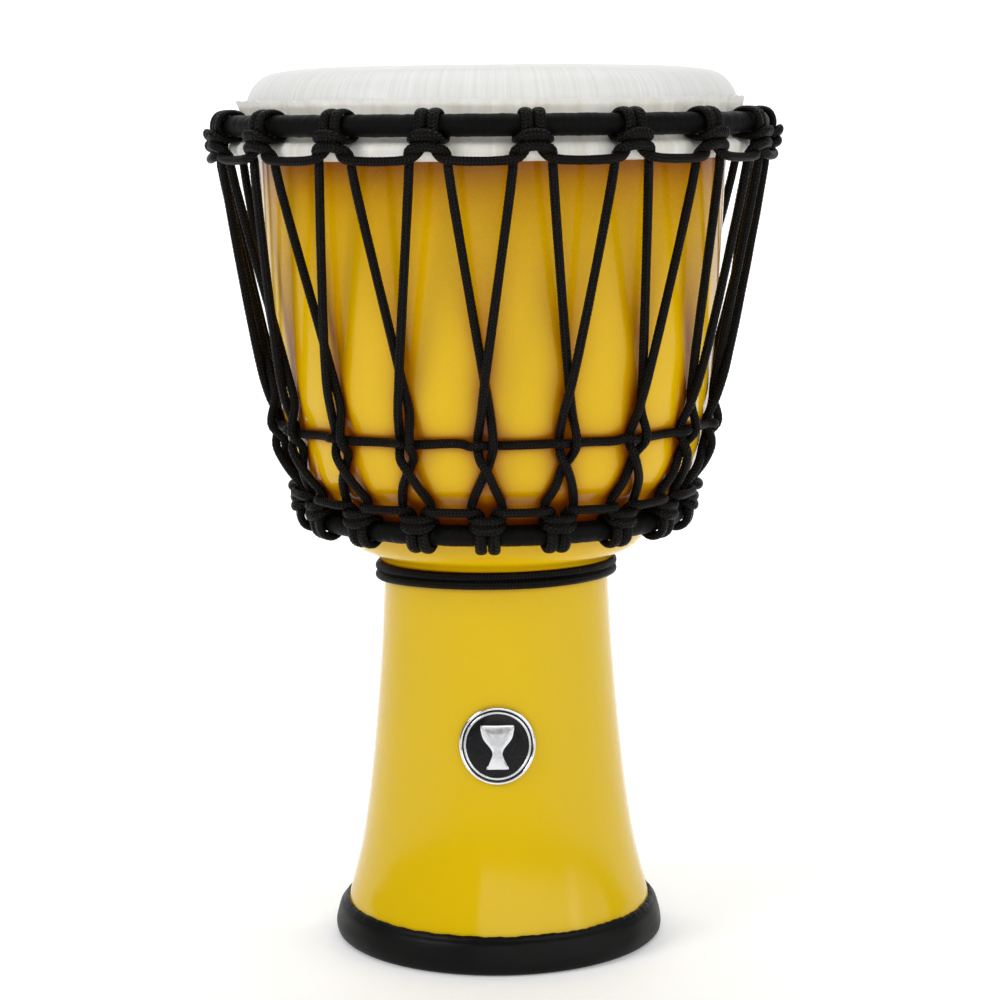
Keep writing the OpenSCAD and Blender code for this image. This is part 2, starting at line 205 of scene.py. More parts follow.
# ---- node materials ------------------------------------------------------------------------
class Nodes:
    """A short way to write a node material. Its numbers are in metres where they are lengths."""

    def __init__(self, name):
        self.material = bpy.data.materials.new(name)
        self.material.use_nodes = True
        self.tree = self.material.node_tree
        self.shader = self.tree.nodes["Principled BSDF"]

    def node(self, kind, inputs=None, **settings):
        n = self.tree.nodes.new(kind)
        for key, value in settings.items():
            setattr(n, key, value)
        for key, value in (inputs or {}).items():
            if isinstance(value, bpy.types.NodeSocket):
                self.tree.links.new(value, n.inputs[key])
            else:
                n.inputs[key].default_value = value
        return n

    def set(self, **values):
        """Puts numbers or links on the shader's own sockets."""
        for key, value in values.items():
            socket = self.shader.inputs[key.replace("_", " ")]
            if isinstance(value, bpy.types.NodeSocket):
                self.tree.links.new(value, socket)
            else:
                socket.default_value = value

    def coords(self, name="Object"):
        return self.node("ShaderNodeTexCoord").outputs[name]

    def soften(self, radius, scale):
        """How far light spreads inside, for red, green and blue."""
        self.shader.inputs["Subsurface Radius"].default_value = radius
        self.shader.inputs["Subsurface Scale"].default_value = scale

    def stretched(self, vector, scale):
        return self.node("ShaderNodeMapping", {"Vector": vector, "Scale": scale}).outputs[0]

    def noise(self, vector, scale, detail=3.0, rough=0.55):
        return self.node("ShaderNodeTexNoise", {"Vector": vector, "Scale": scale, "Detail": detail,
                                                "Roughness": rough}).outputs["Fac"]

    def math(self, operation, a, b=0.0, clamp=False):
        n = self.node("ShaderNodeMath", {0: a, 1: b}, operation=operation)
        n.use_clamp = clamp
        return n.outputs[0]

    def spread(self, value, low, high, to_low=0.0, to_high=1.0):
        return self.node("ShaderNodeMapRange", {"Value": value, "From Min": low, "From Max": high,
                                                "To Min": to_low, "To Max": to_high}).outputs[0]

    def ramp(self, value, stops):
        n = self.node("ShaderNodeValToRGB", {"Fac": value})
        elements = n.color_ramp.elements
        while len(elements) < len(stops):
            elements.new(0.5)
        for element, (at, color) in zip(elements, stops):
            element.position = at
            element.color = (*color, 1)
        return n.outputs[0]

    def mix(self, factor, a, b):
        n = self.node("ShaderNodeMix", data_type="RGBA")
        for socket, value in ((n.inputs[0], factor), (n.inputs[6], a), (n.inputs[7], b)):
            if isinstance(value, bpy.types.NodeSocket):
                self.tree.links.new(value, socket)
            else:
                socket.default_value = value if isinstance(value, float) else (*value, 1)
        return n.outputs[2]

    def bump(self, height, distance, strength=1.0, normal=None):
        inputs = {"Height": height, "Distance": distance, "Strength": strength}
        if normal is not None:
            inputs["Normal"] = normal
        return self.node("ShaderNodeBump", inputs).outputs[0]


PAINTED_SHADE_REACH = 0.028                            # metres within which ropes and rings paint shade into the shell's colour
WAIST_TOP, WAIST_LOW = 0.1395, 0.1335       # metres, under the waist wraps, where the stem's deeper tone begins: the stem is painted darker than the bowl as painted shade for the difference in light between them


def shell_material():
    """Glossy golden-yellow moulded plastic, with painted shade: deeper orange near ropes and rings, and a
    darker stem.
    """
    n = Nodes("shell_gloss")
    place = n.coords()
    # Painted shade: ambient occlusion from ropes and rings close by turns the colour a deep orange-brown.
    shade = n.node("ShaderNodeAmbientOcclusion", {"Distance": PAINTED_SHADE_REACH}, samples=6).outputs["AO"]
    near = n.spread(shade, 0.35, 0.9)
    bowl = n.ramp(near, [(0.0, (0.25, 0.035, 0.002)), (0.5, (0.53, 0.21, 0.0004)),
                         (1.0, (0.755, 0.485, 0.0002))])
    height = n.node("ShaderNodeSeparateXYZ", {"Vector": place}).outputs["Z"]
    # Painted shade: below the waist the colour is mixed towards a deeper yellow than the bowl's.
    base = n.mix(n.spread(height, WAIST_TOP, WAIST_LOW, 0.0, 0.8), bowl, (0.66, 0.445, 0.0002))
    cloud = n.noise(place, 14, 2)
    color = n.mix(n.spread(cloud, 0.3, 0.7, 0.0, 0.08), base, (0.6, 0.36, 0.0006))
    dust = n.noise(place, 900, 2)
    speck = n.spread(dust, 0.74, 0.8)
    peel = n.noise(place, 90, 1)
    n.set(Base_Color=color, Roughness=n.spread(cloud, 0.3, 0.7, 0.1, 0.15), Specular_IOR_Level=0.28,
          Subsurface_Weight=0.12,
          Normal=n.bump(peel, 0.00004, 0.25, n.bump(speck, 0.00003, 0.3)))
    n.soften((1.0, 0.42, 0.05), 0.006)
    return n.material


CREAM_FROM, CREAM_FULL = 0.3085, 0.3065     # metres; the flap and the loop under it are creamier
CALM_R, FIBRE_R = 0.03, 0.078               # metres; the fibres fade in between these radii


def skin_material():
    """White coated skin: fine fibres run over the edge, and the trimmed flap is creamier."""
    n = Nodes("coated_skin")
    along = n.coords("UV")
    place = n.coords()
    fibre = n.noise(n.stretched(along, (420, 14, 1)), 1, 4, 0.6)
    streak = n.noise(n.stretched(along, (150, 9, 1)), 1, 3)
    parts = n.node("ShaderNodeSeparateXYZ", {"Vector": place})
    height = parts.outputs["Z"]
    reach = n.math("POWER", n.math("ADD", n.math("MULTIPLY", parts.outputs["X"], parts.outputs["X"]),
                                   n.math("MULTIPLY", parts.outputs["Y"], parts.outputs["Y"])), 0.5)
    outer = n.spread(reach, CALM_R, FIBRE_R)
    fibre, streak = (n.math("ADD", n.math("MULTIPLY", n.math("SUBTRACT", f, 0.5), outer), 0.5)
                     for f in (fibre, streak))
    cream = n.spread(height, CREAM_FROM, CREAM_FULL)
    cloud = n.noise(place, 30, 4)
    white = n.mix(n.spread(fibre, 0.35, 0.7), (0.70, 0.70, 0.685), (0.80, 0.80, 0.785))
    tan = n.mix(n.spread(streak, 0.35, 0.68), (0.80, 0.77, 0.68), (0.95, 0.93, 0.87))
    color = n.mix(cream, white, tan)
    color = n.mix(n.spread(cloud, 0.4, 0.75, 0.0, 0.25), color, (0.72, 0.70, 0.64))
    n.set(Base_Color=color, Roughness=n.spread(streak, 0.3, 0.7, 0.34, 0.5), Subsurface_Weight=0.2,
          Specular_IOR_Level=0.3,
          Normal=n.bump(fibre, 0.00006, 0.5, n.bump(streak, 0.00012, 0.45)))
    n.soften((1.0, 0.85, 0.6), 0.0015)
    return n.material


PLAIT_COLUMNS = 8                           # round the rope
PLAIT_STEP = 1.2                            # along the rope


def rope_material():
    """Black braided polyester: rows of slanting plaits, their tops painted lighter as a painted highlight.
    """
    n = Nodes("braided_rope")
    plait = n.node("ShaderNodeAttribute", attribute_name="plait").outputs["Fac"]
    parts = n.node("ShaderNodeSeparateXYZ", {"Vector": n.coords("UV")})
    turn, along = parts.outputs["X"], parts.outputs["Y"]
    slant = n.math("PINGPONG", n.math("MULTIPLY", turn, float(PLAIT_COLUMNS)), 1.0)
    phase = n.math("ADD", n.math("MULTIPLY", along, 2 * math.pi / PLAIT_STEP),
                   n.math("MULTIPLY", slant, 2 * math.pi))
    ridge = n.spread(n.math("SINE", phase), -1.0, 1.0)
    column = n.math("SINE", n.math("MULTIPLY", slant, math.pi))
    height = n.math("MULTIPLY", ridge, n.spread(column, 0.0, 1.0, 0.45, 1.0))
    fuzz = n.noise(n.coords(), 1500, 3, 0.7)
    # Painted highlight: the ridge tops and the raised plait points are painted lighter in the colour ramp
    # below.
    tone = n.math("ADD", n.math("MULTIPLY", height, 0.75), n.math("MULTIPLY", fuzz, 0.35), True)
    tone = n.math("ADD", tone, n.math("MULTIPLY", plait, 0.12), True)
    color = n.ramp(tone, [(0.25, (0.0005, 0.0004, 0.0003)), (0.7, (0.0026, 0.0022, 0.0018)),
                          (1.0, (0.022, 0.019, 0.016))])
    n.set(Base_Color=color, Roughness=n.spread(fuzz, 0.3, 0.7, 0.32, 0.52), Specular_IOR_Level=0.08,
          Normal=n.bump(height, 0.0003, 0.9, n.bump(fuzz, 0.00006, 0.5)))
    return n.material


def sleeve_material():
    """Black woven tube cloth, with a fine diagonal weave and a soft sheen."""
    n = Nodes("woven_sleeve")
    along = n.coords("UV")
    parts = n.node("ShaderNodeSeparateXYZ", {"Vector": along})
    turn, lengthwise = parts.outputs["X"], parts.outputs["Y"]
    one = n.math("SINE", n.math("MULTIPLY", n.math("ADD", turn, lengthwise), 2 * math.pi))
    two = n.math("SINE", n.math("MULTIPLY", n.math("SUBTRACT", turn, lengthwise), 2 * math.pi))
    weave = n.math("MULTIPLY", one, two)
    fuzz = n.noise(n.coords(), 700, 3, 0.65)
    patch = n.noise(n.coords(), 45, 2)
    tone = n.math("ADD", n.math("MULTIPLY", fuzz, 0.6), n.spread(weave, -1.0, 1.0, 0.0, 0.4))
    color = n.ramp(tone, [(0.3, (0.0005, 0.0005, 0.0004)), (0.75, (0.005, 0.0046, 0.0042))])
    n.set(Base_Color=color, Roughness=n.spread(patch, 0.35, 0.7, 0.36, 0.5), Specular_IOR_Level=0.06,
          Normal=n.bump(weave, 0.00006, 0.6, n.bump(fuzz, 0.00005, 0.5)))
    return n.material


def rubber_material():
    """Black moulded rubber, with faint, slightly lighter dusty smears."""
    n = Nodes("moulded_rubber")
    place = n.coords()
    grain = n.noise(place, 800, 3, 0.7)
    smear = n.noise(n.stretched(place, (1, 1, 5)), 40, 3)
    color = n.mix(n.spread(smear, 0.4, 0.75, 0.0, 0.5), (0.0022, 0.0021, 0.002),
                  (0.0045, 0.0042, 0.0038))
    n.set(Base_Color=color, Roughness=n.spread(smear, 0.3, 0.7, 0.36, 0.5), Specular_IOR_Level=0.12,
          Normal=n.bump(grain, 0.00004, 0.5, n.bump(smear, 0.0002, 0.3)))
    return n.material


def metal_material(name, color, rough, brushed):
    """Badge or ring metal, with brushing and small marks."""
    n = Nodes(name)
    place = n.coords()
    lines = n.noise(n.stretched(place, (300, 300, 3000) if brushed else (500, 500, 500)), 1, 3, 0.6)
    marks = n.noise(place, 160, 4)
    tone = n.mix(n.spread(marks, 0.35, 0.7, 0.0, 0.35), color, tuple(c * 0.72 for c in color))
    n.set(Base_Color=tone, Metallic=1.0, Roughness=n.spread(lines, 0.3, 0.7, rough * 0.7, rough * 1.3),
          Normal=n.bump(lines, 0.00002, 0.3))
    return n.material


def enamel_material():
    """Glossy black enamel with a faint orange-peel surface."""
    n = Nodes("black_enamel")
    peel = n.noise(n.coords(), 500, 2)
    color = n.mix(n.spread(peel, 0.3, 0.7), (0.004, 0.004, 0.005), (0.007, 0.007, 0.008))
    n.set(Base_Color=color, Roughness=n.spread(peel, 0.3, 0.7, 0.2, 0.3), Specular_IOR_Level=0.2,
          Normal=n.bump(peel, 0.00003, 0.25))
    return n.material


def pad_material():
    """Dark adhesive foam."""
    n = Nodes("adhesive_foam")
    cells = n.noise(n.coords(), 2200, 3, 0.7)
    color = n.mix(n.spread(cells, 0.35, 0.65), (0.02, 0.02, 0.02), (0.05, 0.05, 0.05))
    n.set(Base_Color=color, Roughness=n.spread(cells, 0.3, 0.7, 0.7, 0.9),
          Normal=n.bump(cells, 0.0001, 0.6))
    return n.material


SHELL_LOOK = shell_material()
SKIN_LOOK = skin_material()
ROPE_LOOK = rope_material()
SLEEVE_LOOK = sleeve_material()
RUBBER_LOOK = rubber_material()
STEEL_LOOK = metal_material("plain_steel", (0.45, 0.45, 0.46), 0.38, False)
SATIN_LOOK = metal_material("satin_badge_metal", (0.72, 0.72, 0.73), 0.3, True)
BRIGHT_LOOK = metal_material("bright_badge_metal", (0.82, 0.82, 0.83), 0.16, False)
ENAMEL_LOOK = enamel_material()
PAD_LOOK = pad_material()


def stand_for(piece, slot, *nodes):
    """Puts a piece on the drum in place of its CAD nodes."""
    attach(piece, "root")
    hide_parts(*nodes)
    return piece


# ---- shell ---------------------------------------------------------------------------------
LIP_Z = DRUM_H - SKIN_T - 0.05
OUTLINE = [
    [FOOT_SHELL_R, 3], [56.2, 13.6], [53.3, 24], [49.9, 40], [46.9, 62], [44.4, 87], [42.6, 110],
    [WAIST_R, 132], [WAIST_R, 140], [43.2, 143.6], [47.6, 145.2], [53.1, 148], [56.4, 153], [60.5, 159],
    [64.7, 165], [69.1, 170.6], [72.7, 175.6], [75.1, 184.5], [77, 194], [78.6, 204], [80.7, 226],
    [82.3, 251], [83.3, 270], [84.3, 288], [85.9, 301], [86.9, 306.5], [86, 311], [83.6, LIP_Z - 3.6],
    [80, LIP_Z - 1.4], [76.5, LIP_Z - 0.6]
]
LIP_INNER = [[72, LIP_Z - 0.4], [70.2, LIP_Z - 2], [70.6, LIP_Z - 4.4], [73.6, LIP_Z - 9]]
LIP_POINTS = 5                              # rows at OUTLINE's end that form the bearing edge
OUTER_STEP, INNER_STEP = 1.2, 2.4           # row spacing of the two faces


def beside(profile, distance):
    """A profile moved to the left of its direction."""
    ahead = np.vstack([profile[1:], profile[-1:]])
    behind = np.vstack([profile[:1], profile[:-1]])
    v = unit(ahead - behind)
    return profile + distance * np.stack([-v[:, 1], v[:, 0]], 1)


def eased(profile, passes):
    """A profile with small ripples evened out, its ends kept."""
    p = profile.copy()
    for _ in range(passes):
        p[1:-1] = p[1:-1] * 0.5 + (p[:-2] + p[2:]) * 0.25
    return p


def shell_outer():
    """The outer face from the foot to the inside of the bearing edge, as even rows."""
    even, _ = resampled(smooth(OUTLINE, 12), OUTER_STEP, dims=2)
    return eased(even, 12)


SHELL_OUTER = shell_outer()


def shell_radius(z):
    """Outer radius of the shell's stem and bowl at a height."""
    rising = SHELL_OUTER[:int(np.argmax(SHELL_OUTER[:, 0]))]
    order = np.argsort(rising[:, 1])
    return np.interp(z, rising[order, 1], rising[order, 0])


def make_shell():
    """Outer face, bearing edge and inner face in one closed section."""
    wall, _ = resampled(smooth(OUTLINE[:-LIP_POINTS], 12), INNER_STEP, dims=2)
    inner = beside(eased(wall, 4), SHELL_WALL)[::-1]
    lip = smooth(np.vstack([SHELL_OUTER[-1:], LIP_INNER, inner[:1]]), 5)[1:-1]
    profile = np.vstack([SHELL_OUTER, lip, inner])
    return stand_for(revolved("shell_body", profile, 360, SHELL_LOOK), "shell", "shell")


# ---- rubber foot ---------------------------------------------------------------------------
FOOT_EDGE = 2.2                             # height of the ragged band at the rubber's top


def make_foot():
    """The rubber channel: a ragged top edge, and slightly uneven sides above the floor."""
    outside = smooth([[56.3, FOOT_H + 0.1], [57.0, FOOT_H + 0.15], [57.7, FOOT_H - 0.35],
                      [58.2, FOOT_H - 1.2], [59.3, FOOT_H - 2.6], [60.4, FOOT_H - 6.2], [FOOT_R, 4.4],
                      [60.7, 1.9], [59.6, 0.5], [58.0, 0.0]], 5)
    inside = smooth([[54, 0], [52.6, 0.5], [52.2, 1.6], [51.2, 9.6], [51.7, 11.0], [52.6, 11.5]], 3)

    def shape(angle, r, z):
        top = np.clip((z - FOOT_H + FOOT_EDGE) / FOOT_EDGE, 0, 1)
        rag = wavy(angle, [(11, 0.10), (37, 0.10), (90, 0.07), (170, 0.05)], 5)
        swell = wavy(angle, [(5, 0.12), (14, 0.08)], 6) * np.clip(z / 4, 0, 1)
        return r + swell * (1 - top), z + rag * top

    piece = revolved("rubber_foot", np.vstack([outside, inside]), 720, RUBBER_LOOK, shape)
    return stand_for(piece, "foot_rubber", "foot_ring")


# ---- hitches -------------------------------------------------------------------------------
# Rows are [along the ring, out from its middle, up from its middle, half thickness, half width].
# The left half of a hitch, from the run beside it to the middle of its bar.
CROWN_HITCH = [
    [-7.6, 5.3, -11.2, 1.45, 1.5], [-4.6, 4.5, -10.1, 1.45, 1.6], [-2.4, 3.0, -6.9, 1.3, 1.8],
    [-2.2, 4.0, -3.4, 1.3, 1.8], [-2.1, 5.0, 0, 1.2, 1.9], [-2.1, 3.6, 3.6, 1.1, 1.95],
    [-2.2, 0, 4.75, 0.95, 1.95], [-2.5, -3.6, 3.5, 0.95, 1.8], [-3.0, -4.9, 0, 0.9, 1.7],
    [-4.2, -3.5, -3.5, 0.85, 1.6], [-5.0, 0.5, -4.8, 1.0, 1.6], [-4.9, 4.5, -4.7, 1.2, 1.7],
    [-2.9, 6.9, -3.4, 1.4, 2.0]
]
CROWN_BAR = [[0, 7.1, -3.1, 1.45, 2.1]]
CROWN_LOOP = [
    [-6.6, 2.0, -14.0, 1.5, 1.5], [-6.5, 2.1, -11.2, 1.45, 1.5], [-6.1, 4.2, -8.5, 1.5, 1.6],
    [-3.4, 6.4, -7.2, 1.5, 1.7]
]
CROWN_LOOP_TOP = [[0, 6.8, -6.7, 1.5, 1.75]]
LOWER_HITCH = [
    [-6.4, 7.6, 8.9, 1.45, 1.5], [-3.6, 5.6, 8.8, 1.45, 1.6], [-2.4, 3.4, 6.4, 1.3, 1.8],
    [-2.3, 4.2, 3.2, 1.3, 1.9], [-2.25, 5.2, 0, 1.35, 2.0], [-2.25, 3.8, -3.9, 1.35, 2.0],
    [-2.3, 0, -5.3, 1.2, 1.95], [-2.5, -3.5, -3.3, 0.75, 1.8], [-2.7, -4.5, -0.4, 0.6, 1.7],
    [-3.2, -3.25, 2.6, 0.45, 1.6], [-4.2, -0.9, 4.6, 0.7, 1.5], [-4.9, 2.4, 4.7, 1.0, 1.5],
    [-4.7, 5.0, 4.0, 1.25, 1.7], [-2.8, 6.6, 3.2, 1.4, 1.9]
]
LOWER_BAR = [[0, 6.8, 3.0, 1.45, 1.95]]
LOWER_LOOP = [
    [-5.2, 5.3, 11.3, 1.5, 1.5], [-5.3, 4.5, 9.0, 1.45, 1.5], [-5.0, 5.2, 6.6, 1.45, 1.55],
    [-2.7, 6.9, 6.0, 1.45, 1.6]
]
LOWER_LOOP_END = [[0, 7, 5.8, 1.45, 1.65]]
FREE_ROWS = 3                               # rows at a hitch's two ends that don't bear on the ring
RUN_DZ = 6                                  # rows further up or down than this follow the run's lift

# The strands between the rings, as [aside, radius, height].
STRAND_DOWN = [
    [0, 82.3, 214], [1.7, 80.3, 203], [2.6, 81.9, WEAVE_Z], [1.6, 77.7, 187.6], [0, 76.7, 184.3],
    [-2.8, 75.6, 177.7]
]
STRAND_UP = [
    [2.8, 76.8, 177.7], [0, 80, 184.3], [-1.6, 80, 187.6], [-2.6, 78.3, WEAVE_Z], [-1.7, 82.3, 203],
    [0, 85.3, 214]
]
# The woven row past one pair of strands, as [aside, radius, height above WEAVE_Z].
WEAVE = [
    [-8, 78.7, 0], [-5.3, 79.7, 0.1], [-2.6, 81.5, 0.2], [0, 80.1, 0], [2.6, 78.4, -0.2], [6, 78.6, -0.1]
]

# Hand-tied unevenness. Shifts move a hitch along its ring, lifts move the run beside it.
HITCH_SHIFT, RUN_LIFT = 0.28, 0.16
CROWN_SHIFT = RNG.normal(0, HITCH_SHIFT, HITCHES)
LOWER_SHIFT = RNG.normal(0, HITCH_SHIFT, HITCHES)
CROWN_LIFT = RNG.normal(0, RUN_LIFT, HITCHES)
LOWER_LIFT = RNG.normal(0, RUN_LIFT, HITCHES)
STRAND_WANDER = RNG.normal(0, 0.25, (HITCHES, len(STRAND_DOWN) + len(STRAND_UP)))
WEAVE_WANDER = RNG.normal(0, 0.22, (HITCHES, len(WEAVE)))


def crown_angle(i):
    """Angle of a hitch on the crown ring."""
    return HITCH_PHASE + PITCH * i


def lower_angle(i):
    """Angle of a hitch on the lower ring, midway between two on the crown ring."""
    return crown_angle(i) + PITCH / 2


def mirrored(half):
    """The right half of a hitch from its left half."""
    return [[-row[0], *row[1:]] for row in reversed(half)]


def outward(angle, aside, r, out, up):
    """A direction square to the ring's circle, from its outward and upward parts."""
    a = math.radians(angle) + aside / r
    return np.array([out * math.sin(a), -out * math.cos(a), up])


def at_ring(angle, ring_r, ring_z, rows, shift, lift, bearing):
    """Route rows [x, y, z, half thickness, half width, thin direction] at one hitch."""
    out = []
    last = len(rows) - 1
    for k, (aside, dr, dz, thick, wide) in enumerate(rows):
        u = aside + shift
        free = not bearing or min(k, last - k) < FREE_ROWS
        thin = (1, 0) if free else unit(np.array([dr, dz]))
        point = around(angle, u, ring_r + dr, ring_z + dz + lift * (abs(dz) > RUN_DZ))
        out.append([*point, thick, wide, *outward(angle, u, ring_r + dr, *thin)])
    return out


def at_shell(angle, rows, wander=None):
    """Route rows for a free stretch beside the shell."""
    out = []
    for k, (aside, r, z) in enumerate(rows):
        u = aside + (wander[k] if wander is not None else 0)
        out.append([*around(angle, u, r, z), ROPE_R, ROPE_R, *outward(angle, u, r, 1, 0)])
    return out


def crown_cradle_route():
    """The closed rope hitched round the crown ring."""
    rows = CROWN_HITCH + CROWN_BAR + mirrored(CROWN_HITCH)
    return [p for i in range(HITCHES) for p in at_ring(
        crown_angle(i), CROWN_R, CROWN_Z, rows, CROWN_SHIFT[i], CROWN_LIFT[i], True)]


def lower_cradle_route():
    """The closed rope hitched round the lower ring."""
    rows = LOWER_HITCH + LOWER_BAR + mirrored(LOWER_HITCH)
    return [p for i in range(HITCHES) for p in at_ring(
        lower_angle(i), LOWER_R, LOWER_Z, rows, LOWER_SHIFT[i], LOWER_LIFT[i], True)]


def lacing_route():
    """Up and down between the rings, from the crown hitch in front round to itself."""
    crown_rows = CROWN_LOOP + CROWN_LOOP_TOP + mirrored(CROWN_LOOP)
    lower_rows = LOWER_LOOP + LOWER_LOOP_END + mirrored(LOWER_LOOP)
    route = []
    for i in range(HITCHES):
        above, below = crown_angle(i), lower_angle(i)
        down, up = np.split(STRAND_WANDER[i], [len(STRAND_DOWN)])
        route += at_ring(above, CROWN_R, CROWN_Z, crown_rows, CROWN_SHIFT[i], CROWN_LIFT[i], False)
        route += at_shell(below, STRAND_DOWN, down)
        route += at_ring(below, LOWER_R, LOWER_Z, lower_rows, LOWER_SHIFT[i], LOWER_LIFT[i], False)
        route += at_shell(below, STRAND_UP, up)
    return route


KNOT_Z, KNOT_R = 277.0, 97.2                # the knot's middle


def weave_route():
    """From the lacing knot behind the drum, once round, and down over the lower ring."""
    back = crown_angle(BACK)
    route = at_shell(back, [[-3.7, KNOT_R - 1.6, KNOT_Z - 7.2], [-2.6, 92, 252], [-2, 86.6, 225],
                            [-0.5, 81.6, 201], [1.6, 79.2, 195]])
    for i in range(HITCHES):
        pair = (BACK + i) % HITCHES
        rows = [[u, r, WEAVE_Z + dz + WEAVE_WANDER[pair, k]] for k, (u, r, dz) in enumerate(WEAVE)]
        route += at_shell(lower_angle(BACK + i), rows)
    return route + at_shell(back, [
        [-3.4, 79, WEAVE_Z - 1], [-1, 77.6, WEAVE_Z - 5.4], [0, 75.7, 178], [0, 73.6, 174],
        [0, 71.5, 170.8], [0, 69.1, 167.2], [0, 69.2, 165.2], [0, 71.6, 162.4], [0, 72.1, 159],
        [0, 69.8, 154.8], [0, 64, 150.4], [0, 60.5, 148.9]])


WRAP_R = WAIST_R + ROPE_R + 0.05
WRAP_TOP = 141.1
WRAP_TURNS = 2.2
WRAP_PITCH = 2.05 * ROPE_R                  # drop for each turn
WRAP_START = 14                             # degrees past the back hitch
WRAP_STEP = 6                               # degrees between rows
WRAP_LIFT = 1.8                             # how much higher the turns sit at the front
WRAP_WANDER = 0.12


def waist_route():
    """The rope's tail, wound round the waist."""
    back = crown_angle(BACK)
    route = at_shell(back, [[0, 63.4, 150], [-1, 55, 146.4], [-5, 47.4, 142.8]])
    for a in np.arange(0, 360 * WRAP_TURNS + 1, WRAP_STEP):
        angle = back - WRAP_START - a
        z = WRAP_TOP - WRAP_PITCH * a / 360 + WRAP_WANDER * math.sin(math.radians(3.3 * a))
        z += WRAP_LIFT * max(0.0, math.cos(math.radians(angle)))
        r = WRAP_R + (0.4 if a == 0 else 0)             # the first row eases in from the bowl
        route.append([*around(angle, 0, r, z), ROPE_R, 1.55, *outward(angle, 0, WRAP_R, 1, 0)])
    return route


KNOT_SIZE, KNOT_DEPTH = 1.4, 2.4            # the trefoil's size in its plane, and in and out of it
KNOT_ROPE = (1.2, 1.25)                     # half thickness and half width where it is pulled tight


def knot_route():
    """An overhand knot: an open trefoil hanging behind the drum."""
    t = np.radians(np.arange(196, 525, 16))
    curl = np.stack([KNOT_SIZE * (np.sin(t) + 2 * np.sin(2 * t)),
                     KNOT_SIZE * (np.cos(t) - 2 * np.cos(2 * t)),
                     -KNOT_DEPTH * np.sin(3 * t)], 1)
    rows = [[-12, -2.4, 1.6], [-7, -3.7, 1.5], [-2.6, -4.2, 1.4], *curl.tolist(),
            [2.6, -4.2, -1.4], [7, -3.7, -1.5]]
    back = crown_angle(BACK)
    return [[*around(back, u, KNOT_R + out, KNOT_Z - down), *KNOT_ROPE, *outward(back, u, KNOT_R, 1, 0)]
            for down, u, out in rows]


ROPE_SWELL = 1.05                           # the mesh's mean size over the rope's nominal size
PLAIT_RISE = 0.08                           # how far plaits stand up, as a share of the rope's size


def braided(name, route, closed, sides, step):
    """A braided rope along a route, in steps of some length. Every second grid point stands up."""
    path, length = resampled(rope_curve(route, closed), step, closed)
    centre, thick, wide, thin = path[:, :3], path[:, 3:4], path[:, 4:5], path[:, 5:8]
    if closed:
        tangent = unit(np.roll(centre, -1, 0) - np.roll(centre, 1, 0))
    else:
        tangent = unit(np.gradient(centre, axis=0))
    thin = unit(thin - (thin * tangent).sum(1, keepdims=True) * tangent)
    side = np.cross(tangent, thin)
    count = len(centre)
    slow = wavy(np.arange(count) * 360 / count, [(count // 60, 0.012), (count // 23, 0.012)], len(name))
    a = np.arange(sides) * 2 * math.pi / sides
    raised = ((np.arange(count)[:, None] + np.arange(sides)[None, :]) % 2).astype(float)
    swell = (1 + slow)[:, None] * (ROPE_SWELL - PLAIT_RISE / 2 + PLAIT_RISE * raised)
    points = (centre[:, None] + swell[..., None] * (
        thick[:, None] * np.cos(a)[None, :, None] * thin[:, None]
        + wide[:, None] * np.sin(a)[None, :, None] * side[:, None]))
    lines = count + 1 if closed else count
    uv = grid_uv(np.arange(sides + 1) / sides, np.arange(lines) * length / (lines - 1))
    faces = grid_faces(count, sides, closed, not closed)
    return add_object(name, points.reshape(-1, 3), faces, ROPE_LOOK, uv, raised.ravel())


# Each rope's name, node, route, whether it closes, and its sides and step.
ROPES = [
    ("crown_cradle", "crown_cradle_rope", crown_cradle_route, True, 16, 0.62),
    ("lower_cradle", "lower_cradle_rope", lower_cradle_route, True, 16, 0.62),
    ("lacing", "lacing_rope", lacing_route, True, 12, 0.82),
    ("woven_row", "weave_rope", weave_route, False, 14, 0.66),
    ("waist_winding", "waist_wrap", waist_route, False, 16, 0.62),
    ("fastening_knot", "lacing_knot", knot_route, False, 16, 0.5),
]


def make_ropes():
    for name, node, route, closed, sides, step in ROPES:
        stand_for(braided(name, route(), closed, sides, step), "rope", node)


# ---- sleeves on the rings ------------------------------------------------------------------
SQUEEZE, SQUEEZE_W = 0.28, 4.2              # depth and width of the cloth's squeeze at a hitch
BULGE, BULGE_W = 0.07, 9                    # and of its swelling between hitches
THREAD = 0.75                               # spacing of the woven threads


